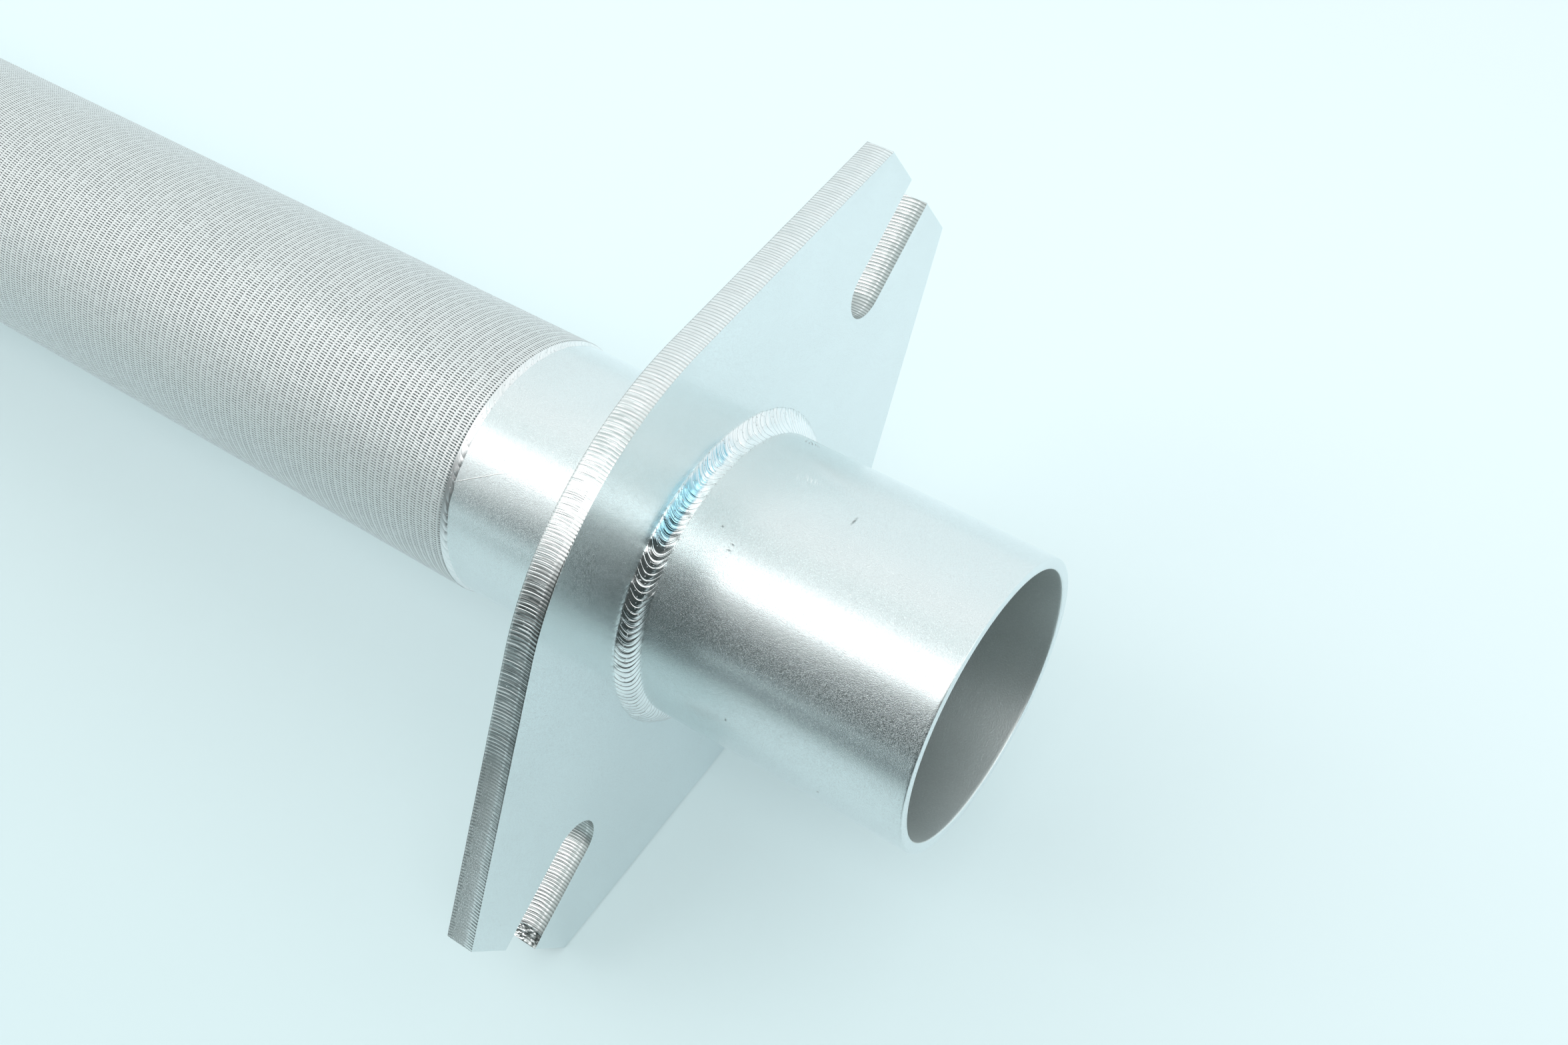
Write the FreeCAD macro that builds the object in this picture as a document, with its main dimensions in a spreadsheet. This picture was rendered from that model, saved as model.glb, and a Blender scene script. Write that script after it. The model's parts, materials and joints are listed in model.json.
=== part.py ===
import FreeCAD, Part
import math
import os

import Sketcher

# Sintered filter element: a woven wire tube, closed at its far end, welded to a short collar,
# a rhombic flange with two open bolt slots and an outlet pipe.
# The origin is on the pipe axis, in the face of the flange that seats on the vessel. +X runs
# along the axis to the closed end of the mesh tube, and the outlet pipe points along -X.
# +Z stands square on the straight flange edge that the element lies on.
# Lengths are in millimetres and angles in degrees.

SIZES = (
    ("pipe_diameter", 60.3, "outlet pipe, outside"),
    ("pipe_wall", 2.3, "outlet pipe, wall"),
    ("pipe_length", 60.0, "outlet pipe, from the front of the flange to its rim"),
    ("rim_radius", 0.4, "rounding of both edges of the rim"),
    ("plate_thickness", 6.0, "flange plate"),
    ("plate_length", 168.0, "flange plate, from end to end"),
    ("plate_width", 118.2, "flange plate, across its round middle"),
    ("plate_end_width", 38.7, "flange plate, across each straight end"),
    ("slot_width", 12.0, "open bolt slot"),
    ("slot_spacing", 123.6, "between the centres of the round ends of the two slots"),
    ("collar_diameter", 56.0, "collar and end cap, outside"),
    ("collar_wall", 1.5, "collar and end cap, wall"),
    ("collar_length", 41.7, "collar, from the seat face of the flange to the mesh"),
    ("mesh_diameter", 57.1, "mesh tube, outside"),
    ("mesh_wall", 1.7, "mesh tube, wall of sintered layers"),
    ("mesh_length", 500.0, "mesh tube"),
    ("groove_spacing", 14.75, "between the grooves round the mesh tube, eight wires of the weave"),
    ("groove_width", 1.3, "groove, across its mouth"),
    ("groove_depth", 0.35, "groove"),
    ("long_seam_width", 3.0, "weld along the mesh tube, where the rolled sheet meets"),
    ("long_seam_turn", -70.0, "weld along the mesh tube, turned about the axis from straight down"),
    ("cap_length", 15.0, "end cap"),
    ("cap_floor", 2.0, "end cap, thickness of its closed end"),
    ("cap_corner", 3.0, "end cap, rounding of its closed end"),
    ("front_bead_leg", 4.0, "fillet weld between the outlet pipe and the flange"),
    ("rear_bead_leg", 3.0, "fillet weld between the collar and the flange"),
    ("seam_bead_width", 2.0, "weld beads at both ends of the mesh tube"),
    ("bead_depth", 0.5, "how deep the fillet welds go into the metal on both sides"),
    ("bead_roundness", 2.0, "radius of a bead's face, as a multiple of its leg"),
)

doc = FreeCAD.newDocument("filter_element")
dim = doc.addObject("Spreadsheet::Sheet", "dim")
for row, (alias, number, meaning) in enumerate(SIZES, start=1):
    dim.set(f"A{row}", alias)
    dim.set(f"B{row}", str(number))
    dim.set(f"C{row}", meaning)
    dim.setAlias(f"B{row}", alias)
doc.recompute()

ORIGIN_POINT = (-1, 1)
HORIZONTAL_AXIS = -1
START, END, CENTRE = (1, 2, 3)
ALONG_X = FreeCAD.Vector(1, 0, 0)

# Places along the axis and radii that several pieces share
PIPE_FOOT = "(-dim.plate_thickness)"
PIPE_RIM = "(-dim.plate_thickness - dim.pipe_length)"
PIPE_RADIUS = "(dim.pipe_diameter / 2)"
PIPE_BORE = "(dim.pipe_diameter / 2 - dim.pipe_wall)"
COLLAR_RADIUS = "(dim.collar_diameter / 2)"
COLLAR_BORE = "(dim.collar_diameter / 2 - dim.collar_wall)"
MESH_RADIUS = "(dim.mesh_diameter / 2)"
MESH_BORE = "(dim.mesh_diameter / 2 - dim.mesh_wall)"
MESH_START = "dim.collar_length"
MESH_END = "(dim.collar_length + dim.mesh_length)"
CAP_END = "(dim.collar_length + dim.mesh_length + dim.cap_length)"
LONG_SEAM_ANGLE = "(dim.long_seam_width / (dim.mesh_diameter / 2) * 180 / pi)"


def value(expression):
    """Number that an expression on the sheet gives now."""
    return float(dim.evalExpression(expression.replace("dim.", "")))


def new_body(label, turn=0.0):
    """Body of one piece, turned about the pipe axis."""
    body = doc.addObject("PartDesign::Body", label)
    body.Label = label
    body.Placement = FreeCAD.Placement(FreeCAD.Vector(), FreeCAD.Rotation(ALONG_X, turn))
    return body


def origin_item(body, role):
    """Plane or axis of the body's own origin."""
    return next(item for item in body.Origin.OriginFeatures if item.Role == role)


def new_sketch(body, name, plane):
    sketch = body.newObject("Sketcher::SketchObject", name)
    sketch.AttachmentSupport = (origin_item(body, plane), [""])
    sketch.MapMode = "FlatFace"
    return sketch


def bind(sketch, kind, *places, to):
    """Sets a dimension of the sketch and ties it to an expression on the sheet."""
    index = sketch.addConstraint(Sketcher.Constraint(kind, *places, value(to)))
    sketch.setExpression(f"Constraints[{index}]", to)


def join(sketch, first, first_end, second, second_end, kind="Coincident"):
    sketch.addConstraint(Sketcher.Constraint(kind, first, first_end, second, second_end))


def round_edge(start, end, radius):
    """Arc that runs anticlockwise from start to end."""
    chord = end - start
    rise = math.sqrt(radius**2 - (chord.Length / 2) ** 2)
    inward = FreeCAD.Vector(-chord.y, chord.x, 0).normalize()
    centre = start + chord / 2 + inward * rise
    angles = [math.atan2(point.y - centre.y, point.x - centre.x) for point in (start, end)]
    if angles[1] < angles[0]:
        angles[1] += 2 * math.pi
    return Part.ArcOfCircle(Part.Circle(centre, FreeCAD.Vector(0, 0, 1), radius), *angles)


def draw_section(body, name, corners):
    """Half section of a turned piece, anticlockwise. The first number runs along the pipe axis
    and the second out from it. A third one rounds the edge that leaves the corner."""
    sketch = new_sketch(body, name, "XZ_Plane")
    points = [FreeCAD.Vector(value(corner[0]), value(corner[1]), 0) for corner in corners]
    for index, corner in enumerate(corners):
        start = points[index]
        end = points[(index + 1) % len(points)]
        if len(corner) == 3:
            sketch.addGeometry(round_edge(start, end, value(corner[2])))
        else:
            sketch.addGeometry(Part.LineSegment(start, end))
    for index, corner in enumerate(corners):
        join(sketch, index, END, (index + 1) % len(corners), START)
        bind(sketch, "DistanceX", index, START, to=corner[0])
        bind(sketch, "DistanceY", index, START, to=corner[1])
        if len(corner) == 3:
            bind(sketch, "Radius", index, to=corner[2])
    return sketch


def revolve(body, sketch, angle="360"):
    """Turns a section about the pipe axis, evenly to both sides of the sketch."""
    turned = body.newObject("PartDesign::Revolution", f"{body.Label}_turned")
    turned.Profile = sketch
    turned.ReferenceAxis = (sketch, ["H_Axis"])
    turned.Midplane = True
    turned.setExpression("Angle", angle)
    body.Tip = turned


def turned_piece(label, corners, turn=0.0, angle="360"):
    body = new_body(label, turn)
    revolve(body, draw_section(body, f"{label}_section", corners), angle)
    return body


def cut_through(body, sketch, name):
    """Pocket from the seat face of the plate through its front."""
    pocket = body.newObject("PartDesign::Pocket", name)
    pocket.Profile = sketch
    pocket.Type = "ThroughAll"
    body.Tip = pocket
    return pocket


def cut_ring(body, name, corners):
    """Groove round the pipe axis, with that section."""
    section = draw_section(body, f"{name}_section", corners)
    groove = body.newObject("PartDesign::Groove", name)
    groove.Profile = section
    groove.ReferenceAxis = (section, ["H_Axis"])
    groove.Angle = 360
    body.Tip = groove
    return groove


def edge_angle():
    """Angle from the plate's long axis to the normal of its straight long edges, which leave
    the end corners and touch the round middle."""
    half_length = value("dim.plate_length / 2")
    half_end = value("dim.plate_end_width / 2")
    middle_radius = value("dim.plate_width / 2")
    corner_distance = math.hypot(half_length, half_end)
    return math.degrees(math.atan2(half_end, half_length) + math.acos(middle_radius / corner_distance))


def outlet_pipe():
    """Pipe stub with a rounded rim, on the front of the flange. Its foot is cut back by the
    depth of the weld."""
    rim_start = f"{PIPE_RIM} + dim.rim_radius"
    bead_end = f"{PIPE_FOOT} - dim.front_bead_leg"
    return turned_piece("outlet_pipe", (
        (rim_start, PIPE_BORE),
        (PIPE_FOOT, PIPE_BORE),
        (PIPE_FOOT, f"{PIPE_RADIUS} - dim.bead_depth"),
        (bead_end, f"{PIPE_RADIUS} - dim.bead_depth"),
        (bead_end, PIPE_RADIUS),
        (rim_start, PIPE_RADIUS, "dim.rim_radius"),
        (PIPE_RIM, f"{PIPE_RADIUS} - dim.rim_radius"),
        (PIPE_RIM, f"{PIPE_BORE} + dim.rim_radius", "dim.rim_radius"),
    ))


def draw_plate_outline(body):
    """Rhombic outline: a round middle, straight long edges that touch it, and square ends."""
    half_length = value("dim.plate_length / 2")
    half_end = value("dim.plate_end_width / 2")
    radius = value("dim.plate_width / 2")
    edge = math.radians(edge_angle())
    touch_x = radius * math.cos(edge)
    touch_y = radius * math.sin(edge)
    sketch = new_sketch(body, "plate_outline", "YZ_Plane")
    middle = Part.Circle(FreeCAD.Vector(), FreeCAD.Vector(0, 0, 1), radius)
    corners = [FreeCAD.Vector(x, y, 0) for x, y in (
        (half_length, -half_end), (half_length, half_end), (touch_x, touch_y), (-touch_x, touch_y),
        (-half_length, half_end), (-half_length, -half_end), (-touch_x, -touch_y), (touch_x, -touch_y),
    )]
    (right_end, upper_right, upper_round, upper_left,
     left_end, lower_left, lower_round, lower_right) = range(len(corners))
    sketch.addGeometry(Part.LineSegment(corners[0], corners[1]))
    sketch.addGeometry(Part.LineSegment(corners[1], corners[2]))
    sketch.addGeometry(Part.ArcOfCircle(middle, edge, math.pi - edge))
    sketch.addGeometry(Part.LineSegment(corners[3], corners[4]))
    sketch.addGeometry(Part.LineSegment(corners[4], corners[5]))
    sketch.addGeometry(Part.LineSegment(corners[5], corners[6]))
    sketch.addGeometry(Part.ArcOfCircle(middle, math.pi + edge, 2 * math.pi - edge))
    sketch.addGeometry(Part.LineSegment(corners[7], corners[0]))
    join(sketch, right_end, END, upper_right, START)
    join(sketch, upper_left, END, left_end, START)
    join(sketch, left_end, END, lower_left, START)
    join(sketch, lower_right, END, right_end, START)
    join(sketch, upper_right, END, upper_round, START, "Tangent")
    join(sketch, upper_round, END, upper_left, START, "Tangent")
    join(sketch, lower_left, END, lower_round, START, "Tangent")
    join(sketch, lower_round, END, lower_right, START, "Tangent")
    join(sketch, upper_round, CENTRE, *ORIGIN_POINT)
    join(sketch, lower_round, CENTRE, *ORIGIN_POINT)
    bind(sketch, "Radius", upper_round, to="dim.plate_width / 2")
    bind(sketch, "Radius", lower_round, to="dim.plate_width / 2")
    for end_edge, side in ((right_end, 1), (left_end, -1)):
        bind(sketch, "DistanceX", end_edge, START, to=f"{side} * dim.plate_length / 2")
        bind(sketch, "DistanceX", end_edge, END, to=f"{side} * dim.plate_length / 2")
        bind(sketch, "DistanceY", end_edge, START, to=f"{-side} * dim.plate_end_width / 2")
        bind(sketch, "DistanceY", end_edge, END, to=f"{side} * dim.plate_end_width / 2")
    return sketch


def draw_slot(body):
    """Bolt slot with a round inner end, open past the end of the plate."""
    inner = value("dim.slot_spacing / 2")
    outer = value("dim.plate_length / 2 + dim.slot_width")
    half_width = value("dim.slot_width / 2")
    sketch = new_sketch(body, "slot_outline", "YZ_Plane")
    round_end = Part.Circle(FreeCAD.Vector(inner, 0, 0), FreeCAD.Vector(0, 0, 1), half_width)
    inner_end, lower_side, outer_end, upper_side = range(4)
    sketch.addGeometry(Part.ArcOfCircle(round_end, math.pi / 2, math.pi * 3 / 2))
    corners = [FreeCAD.Vector(x, y, 0) for x, y in (
        (inner, -half_width), (outer, -half_width), (outer, half_width), (inner, half_width),
    )]
    for start, end in zip(corners, corners[1:]):
        sketch.addGeometry(Part.LineSegment(start, end))
    join(sketch, inner_end, END, lower_side, START, "Tangent")
    join(sketch, lower_side, END, outer_end, START)
    join(sketch, outer_end, END, upper_side, START)
    join(sketch, upper_side, END, inner_end, START, "Tangent")
    bind(sketch, "DistanceX", inner_end, CENTRE, to="dim.slot_spacing / 2")
    sketch.addConstraint(Sketcher.Constraint("PointOnObject", inner_end, CENTRE, HORIZONTAL_AXIS))
    bind(sketch, "Radius", inner_end, to="dim.slot_width / 2")
    sketch.addConstraint(Sketcher.Constraint("Horizontal", lower_side))
    sketch.addConstraint(Sketcher.Constraint("Vertical", outer_end))
    bind(sketch, "DistanceX", outer_end, START, to="dim.plate_length / 2 + dim.slot_width")
    return sketch


def flange_plate():
    """Flat plate with a bore as wide as the collar's and one slot in each end. The welds sink
    into a shallow ring on both faces. It is turned so that one of its straight long edges lies
    level underneath."""
    right_angle = 90
    body = new_body("flange_plate", edge_angle() - right_angle)
    pad = body.newObject("PartDesign::Pad", "plate_pad")
    pad.Profile = draw_plate_outline(body)
    pad.Reversed = True
    pad.setExpression("Length", "dim.plate_thickness")
    body.Tip = pad
    bore = new_sketch(body, "plate_bore_outline", "YZ_Plane")
    bore.addGeometry(Part.Circle(FreeCAD.Vector(), FreeCAD.Vector(0, 0, 1), value(COLLAR_BORE)))
    join(bore, 0, CENTRE, *ORIGIN_POINT)
    bind(bore, "Radius", 0, to=COLLAR_BORE)
    cut_through(body, bore, "plate_bore")
    slot = cut_through(body, draw_slot(body), "slot")
    other_slot = body.newObject("PartDesign::Mirrored", "other_slot")
    other_slot.Originals = [slot]
    other_slot.MirrorPlane = (origin_item(body, "XZ_Plane"), [""])
    body.Tip = other_slot
    cut_ring(body, "front_bead_seat", (
        (PIPE_FOOT, f"{PIPE_RADIUS} - dim.bead_depth"),
        (f"{PIPE_FOOT} + dim.bead_depth", f"{PIPE_RADIUS} - dim.bead_depth"),
        (f"{PIPE_FOOT} + dim.bead_depth", f"{PIPE_RADIUS} + dim.front_bead_leg"),
        (PIPE_FOOT, f"{PIPE_RADIUS} + dim.front_bead_leg"),
    ))
    cut_ring(body, "rear_bead_seat", (
        ("-dim.bead_depth", f"{COLLAR_RADIUS} - dim.bead_depth"),
        ("0", f"{COLLAR_RADIUS} - dim.bead_depth"),
        ("0", f"{COLLAR_RADIUS} + dim.rear_bead_leg"),
        ("-dim.bead_depth", f"{COLLAR_RADIUS} + dim.rear_bead_leg"),
    ))
    return body


def front_bead():
    """Fillet weld all round the foot of the outlet pipe."""
    return turned_piece("front_weld_bead", (
        (f"{PIPE_FOOT} - dim.front_bead_leg", f"{PIPE_RADIUS} - dim.bead_depth"),
        (f"{PIPE_FOOT} + dim.bead_depth", f"{PIPE_RADIUS} - dim.bead_depth"),
        (f"{PIPE_FOOT} + dim.bead_depth", f"{PIPE_RADIUS} + dim.front_bead_leg"),
        (PIPE_FOOT, f"{PIPE_RADIUS} + dim.front_bead_leg", "dim.front_bead_leg * dim.bead_roundness"),
        (f"{PIPE_FOOT} - dim.front_bead_leg", PIPE_RADIUS),
    ))


def rear_bead():
    """Fillet weld all round the collar, on the seat face of the flange."""
    return turned_piece("rear_weld_bead", (
        ("-dim.bead_depth", f"{COLLAR_RADIUS} - dim.bead_depth"),
        ("dim.rear_bead_leg", f"{COLLAR_RADIUS} - dim.bead_depth"),
        ("dim.rear_bead_leg", COLLAR_RADIUS, "dim.rear_bead_leg * dim.bead_roundness"),
        ("0", f"{COLLAR_RADIUS} + dim.rear_bead_leg"),
        ("-dim.bead_depth", f"{COLLAR_RADIUS} + dim.rear_bead_leg"),
    ))


def collar_tube():
    """Plain tube between the flange and the mesh. Its foot is cut back by the depth of the weld."""
    return turned_piece("collar_tube", (
        ("0", COLLAR_BORE),
        (MESH_START, COLLAR_BORE),
        (MESH_START, COLLAR_RADIUS),
        ("dim.rear_bead_leg", COLLAR_RADIUS),
        ("dim.rear_bead_leg", f"{COLLAR_RADIUS} - dim.bead_depth"),
        ("0", f"{COLLAR_RADIUS} - dim.bead_depth"),
    ))


def collar_seam_bead():
    """Weld bead in the step between the collar and the end of the mesh tube."""
    return turned_piece("collar_seam_bead", (
        (f"{MESH_START} - dim.seam_bead_width", COLLAR_RADIUS),
        (MESH_START, COLLAR_RADIUS),
        (MESH_START, MESH_RADIUS, "dim.seam_bead_width * dim.bead_roundness"),
    ))


def mesh_tube():
    """Tube rolled from one sheet of sintered wire cloth, with a groove round it at every eighth
    wire of the weave. A gap for the weld is left along it."""
    body = turned_piece("mesh_tube", (
        (MESH_START, MESH_BORE),
        (MESH_END, MESH_BORE),
        (MESH_END, MESH_RADIUS),
        (MESH_START, MESH_RADIUS),
    ), value("dim.long_seam_turn"), f"360 - {LONG_SEAM_ANGLE}")
    first_groove = f"({MESH_START} + dim.groove_spacing / 2)"
    groove = cut_ring(body, "groove", (
        (first_groove, f"{MESH_RADIUS} - dim.groove_depth"),
        (f"{first_groove} + dim.groove_width", f"{MESH_RADIUS} + dim.groove_depth"),
        (f"{first_groove} - dim.groove_width", f"{MESH_RADIUS} + dim.groove_depth"),
    ))
    grooves = body.newObject("PartDesign::LinearPattern", "grooves")
    grooves.Originals = [groove]
    grooves.Direction = (origin_item(body, "X_Axis"), [""])
    count = "floor(dim.mesh_length / dim.groove_spacing)"
    grooves.setExpression("Length", f"({count} - 1) * dim.groove_spacing")
    grooves.setExpression("Occurrences", count)
    body.Tip = grooves
    return body


def long_seam():
    """Weld that closes the rolled mesh tube, as deep as its wall."""
    opposite = 180
    return turned_piece("long_seam_weld", (
        (MESH_START, MESH_BORE),
        (MESH_END, MESH_BORE),
        (MESH_END, MESH_RADIUS),
        (MESH_START, MESH_RADIUS),
    ), value("dim.long_seam_turn") + opposite, LONG_SEAM_ANGLE)


def end_cap():
    """Pressed cup that closes the far end of the mesh tube."""
    floor_face = f"{CAP_END} - dim.cap_floor"
    return turned_piece("end_cap", (
        (floor_face, "0"),
        (CAP_END, "0"),
        (CAP_END, f"{COLLAR_RADIUS} - dim.cap_corner", "dim.cap_corner"),
        (f"{CAP_END} - dim.cap_corner", COLLAR_RADIUS),
        (MESH_END, COLLAR_RADIUS),
        (MESH_END, COLLAR_BORE),
        (floor_face, COLLAR_BORE),
    ))


def cap_seam_bead():
    """Weld bead in the step between the end cap and the end of the mesh tube."""
    return turned_piece("cap_seam_bead", (
        (MESH_END, COLLAR_RADIUS),
        (f"{MESH_END} + dim.seam_bead_width", COLLAR_RADIUS, "dim.seam_bead_width * dim.bead_roundness"),
        (MESH_END, MESH_RADIUS),
    ))


def check_model(bodies):
    """Stops at a failed feature, a broken shape or a cut that removed nothing."""
    for item in doc.Objects:
        if {"Invalid", "Error"} & set(item.State):
            raise RuntimeError(f"{item.Label} failed: {item.State}")
    for body in bodies:
        if body.Shape.isNull() or not body.Shape.isValid():
            raise RuntimeError(f"{body.Label} has no valid shape")
        for feature in body.Group:
            base = getattr(feature, "BaseFeature", None)
            if base and feature.Shape.Volume >= base.Shape.Volume:
                raise RuntimeError(f"{feature.Label} cut nothing")


pieces = (
    outlet_pipe(),
    flange_plate(),
    front_bead(),
    rear_bead(),
    collar_tube(),
    collar_seam_bead(),
    mesh_tube(),
    long_seam(),
    end_cap(),
    cap_seam_bead(),
)
doc.recompute()
check_model(pieces)
os.makedirs("parts", exist_ok=True)
for piece in pieces:
    piece.Shape.exportStep(f"parts/{piece.Label}.step")
    print(piece.Label, round(piece.Shape.Volume, 1), len(piece.Shape.Faces))
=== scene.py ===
import json
import math

import bpy
import numpy as np
from mathutils import Matrix, Vector
from mathutils.geometry import tessellate_polygon


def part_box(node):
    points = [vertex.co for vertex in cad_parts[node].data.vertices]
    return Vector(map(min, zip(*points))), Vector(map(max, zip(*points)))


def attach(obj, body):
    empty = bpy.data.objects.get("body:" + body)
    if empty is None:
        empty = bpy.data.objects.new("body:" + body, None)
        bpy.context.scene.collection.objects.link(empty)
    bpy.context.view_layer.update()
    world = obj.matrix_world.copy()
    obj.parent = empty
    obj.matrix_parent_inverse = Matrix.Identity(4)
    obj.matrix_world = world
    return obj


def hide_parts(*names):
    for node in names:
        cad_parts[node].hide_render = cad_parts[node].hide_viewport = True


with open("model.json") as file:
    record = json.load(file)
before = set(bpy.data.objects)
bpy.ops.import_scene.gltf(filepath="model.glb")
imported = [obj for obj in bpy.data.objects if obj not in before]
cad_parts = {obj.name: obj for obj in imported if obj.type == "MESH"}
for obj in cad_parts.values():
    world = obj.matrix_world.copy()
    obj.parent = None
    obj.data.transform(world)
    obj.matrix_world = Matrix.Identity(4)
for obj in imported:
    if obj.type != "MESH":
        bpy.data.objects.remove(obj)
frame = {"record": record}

# Sintered filter element: an outlet pipe and a rhombic flange on a rolled tube of sintered wire
# cloth. Lengths are in metres. +X runs along the pipe axis to the closed end. Angles round the
# axis are counted from straight up, towards +Y.

MM = 0.001
FULL_TURN = 2 * math.pi

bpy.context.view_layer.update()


# Places that the frame gives
pipe_low, pipe_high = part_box("outlet_pipe")
plate_low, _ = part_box("flange_plate")
mesh_low, mesh_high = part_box("mesh_tube")
_, cap_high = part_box("end_cap")
front_bead_low, front_bead_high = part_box("front_weld_bead")
_, rear_bead_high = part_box("rear_weld_bead")
mounts = {mount["name"]: mount for mount in frame["record"]["mounts"]}

PIPE_RADIUS = pipe_high.z
PIPE_BORE = mounts["outlet_bore"]["dims"]["r_mm"] * MM
PIPE_RIM = pipe_low.x
PLATE_FRONT = plate_low.x
COLLAR_RADIUS = cap_high.z
COLLAR_BORE = mounts["flow_bore"]["dims"]["r_mm"] * MM
MESH_START = mesh_low.x
MESH_END = mesh_high.x
MESH_RADIUS = mesh_high.z
CAP_END = cap_high.x
TABLE_HEIGHT = plate_low.z

# Sizes of the solids that the frame doesn't give
MESH_WALL = 1.7 * MM
CAP_WALL, CAP_FLOOR, CAP_CORNER = 1.5 * MM, 2 * MM, 3 * MM
RIM_RADIUS = 0.4 * MM
PLATE_LENGTH = 168 * MM
PLATE_END_WIDTH = 38.7 * MM
PLATE_ROUND = 59.1 * MM
SLOT_WIDTH = 12 * MM
SLOT_CENTRE = 61.8 * MM
SLOT_LINE_TURN = math.radians(-30.312)

# Millimetres from one stripe of the laser's cut to the next, how much the stripes bend, and the
# depth at which they turn
STRIPE = 0.70
STRIPE_BEND = 0.042
STRIPE_BEND_MIDDLE = 2.6

# Middle and half length of the cut edge's grainy stretch and of its melted spot, in millimetres
# along the outline
GRAINY_MIDDLE = 52.0
GRAINY_HALF = 34.0
MELTED_MIDDLE = 516.3
MELTED_HALF = 2.6

# Places round the turned pieces, and round the bore through the flange
AROUND = 288
BORE_STEPS = 192


# Meshes
def smooth_noise(positions, spacing, seed):
    """Smooth random numbers from -1 to 1 along a line: random heights at even steps, joined by
    cosine curves. The positions are lengths, and spacing is the step."""
    steps = positions / spacing
    left = np.floor(steps).astype(int)
    heights = np.random.default_rng(seed).uniform(-1, 1, left.max() - left.min() + 2)
    share = 0.5 - 0.5 * np.cos(math.pi * (steps - left))
    first = heights[left - left.min()]
    second = heights[left - left.min() + 1]
    return first * (1 - share) + second * share


def grid_faces(rows, columns, wrap_rows, wrap_columns):
    """Corners of each quad of a grid, as row and column numbers that run past the end where the
    grid closes on itself."""
    row, column = np.meshgrid(
        np.arange(rows if wrap_rows else rows - 1),
        np.arange(columns if wrap_columns else columns - 1), indexing="ij")
    corner_rows = np.stack([row, row + 1, row + 1, row], -1).reshape(-1, 4)
    corner_columns = np.stack([column, column, column + 1, column + 1], -1).reshape(-1, 4)
    return corner_rows, corner_columns


def inside_out(points, faces):
    """True where the closed shell's faces point inwards. Its volume is the sum, over fans of
    triangles, of corner . (corner x corner) / 6."""
    a = points[faces[:, 0]]
    volume = 0.0
    for second in range(1, faces.shape[1] - 1):
        b = points[faces[:, second]]
        c = points[faces[:, second + 1]]
        volume += np.einsum("ij,ij->i", a, np.cross(b, c)).sum()
    return volume < 0


def build(name, points, faces, materials, face_materials=None, layout=None):
    """Mesh object from arrays of points and faces. The layout holds two lengths for each corner
    of each face, in millimetres, and goes into a UV map."""
    mesh = bpy.data.meshes.new(name)
    mesh.from_pydata(points.tolist(), [], [list(face) for face in faces])
    for material in materials:
        mesh.materials.append(material)
    if face_materials is not None:
        mesh.polygons.foreach_set("material_index", np.asarray(face_materials, np.int32))
    if layout is not None:
        mesh.uv_layers.new(name="layout").data.foreach_set("uv", np.asarray(layout, float).ravel())
    mesh.polygons.foreach_set("use_smooth", [True] * len(mesh.polygons))
    mesh.update()
    piece = bpy.data.objects.new(name, mesh)
    bpy.context.scene.collection.objects.link(piece)
    return piece


def place(piece, slot, *nodes):
    """Puts a piece on the body, in place of CAD nodes."""
    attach(piece, "root")
    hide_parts(*nodes)


def rounded_section(corners, steps=5):
    """Closed section in the (along, radius) plane. Each corner is (along, radius, rounding): a
    rounded one becomes an arc from one side to the other, with one more point beyond both ends
    of the arc that keeps the shading of the long sides flat."""
    points = np.array([corner[:2] for corner in corners])
    rounding = [corner[2] for corner in corners]
    section = []
    for index, corner in enumerate(points):
        back = points[index - 1] - corner
        ahead = points[(index + 1) % len(points)] - corner
        back_length, ahead_length = np.linalg.norm(back), np.linalg.norm(ahead)
        back, ahead = back / back_length, ahead / ahead_length
        radius = rounding[index]
        half = math.acos(np.clip(back @ ahead, -1, 1)) / 2
        reach = radius / math.tan(half)
        centre = corner + (back + ahead) / np.linalg.norm(back + ahead) * radius / math.sin(half)
        start, end = corner + back * reach, corner + ahead * reach
        first = math.atan2(*(start - centre)[::-1])
        turn = (math.atan2(*(end - centre)[::-1]) - first + math.pi) % FULL_TURN - math.pi
        extra = min(radius, 0.3 * back_length, 0.3 * ahead_length)
        section.append(start + back * extra)
        for step in range(steps + 1):
            angle = first + turn * step / steps
            section.append(centre + radius * np.array([math.cos(angle), math.sin(angle)]))
        section.append(end + ahead * extra)
    return np.array(section)


def ring_grid(section):
    """Grid of points from a section of (along, radius) pairs for each place round the pipe axis:
    (along, radius x sin, radius x cos)."""
    angles = np.arange(section.shape[1]) * FULL_TURN / section.shape[1]
    along, out = section[..., 0], section[..., 1]
    return np.stack([along, out * np.sin(angles), out * np.cos(angles)], -1)


def turned(section, around):
    """Grid of points of one section that is turned about the pipe axis."""
    return ring_grid(np.broadcast_to(section[:, None, :], (len(section), around, 2)))


def ring_piece(name, grid, materials, row_materials=None, layout=None):
    """Closed ring from a grid whose rows close round the section and columns round the axis. The
    layout has one column more than the grid, because it doesn't start again where the ring closes."""
    rows, columns = grid.shape[:2]
    corner_rows, corner_columns = grid_faces(rows, columns, True, True)
    faces = (corner_rows % rows) * columns + corner_columns % columns
    points = grid.reshape(-1, 3)
    chosen, corners = None, None
    if row_materials is not None:
        chosen = np.asarray(row_materials)[corner_rows[:, 0]]
    if layout is not None:
        corners = layout[corner_rows % rows, corner_columns]
    if inside_out(points, faces):
        faces = faces[:, ::-1]
        corners = corners[:, ::-1] if layout is not None else None
    return build(name, points, faces, materials, chosen, corners)


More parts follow.
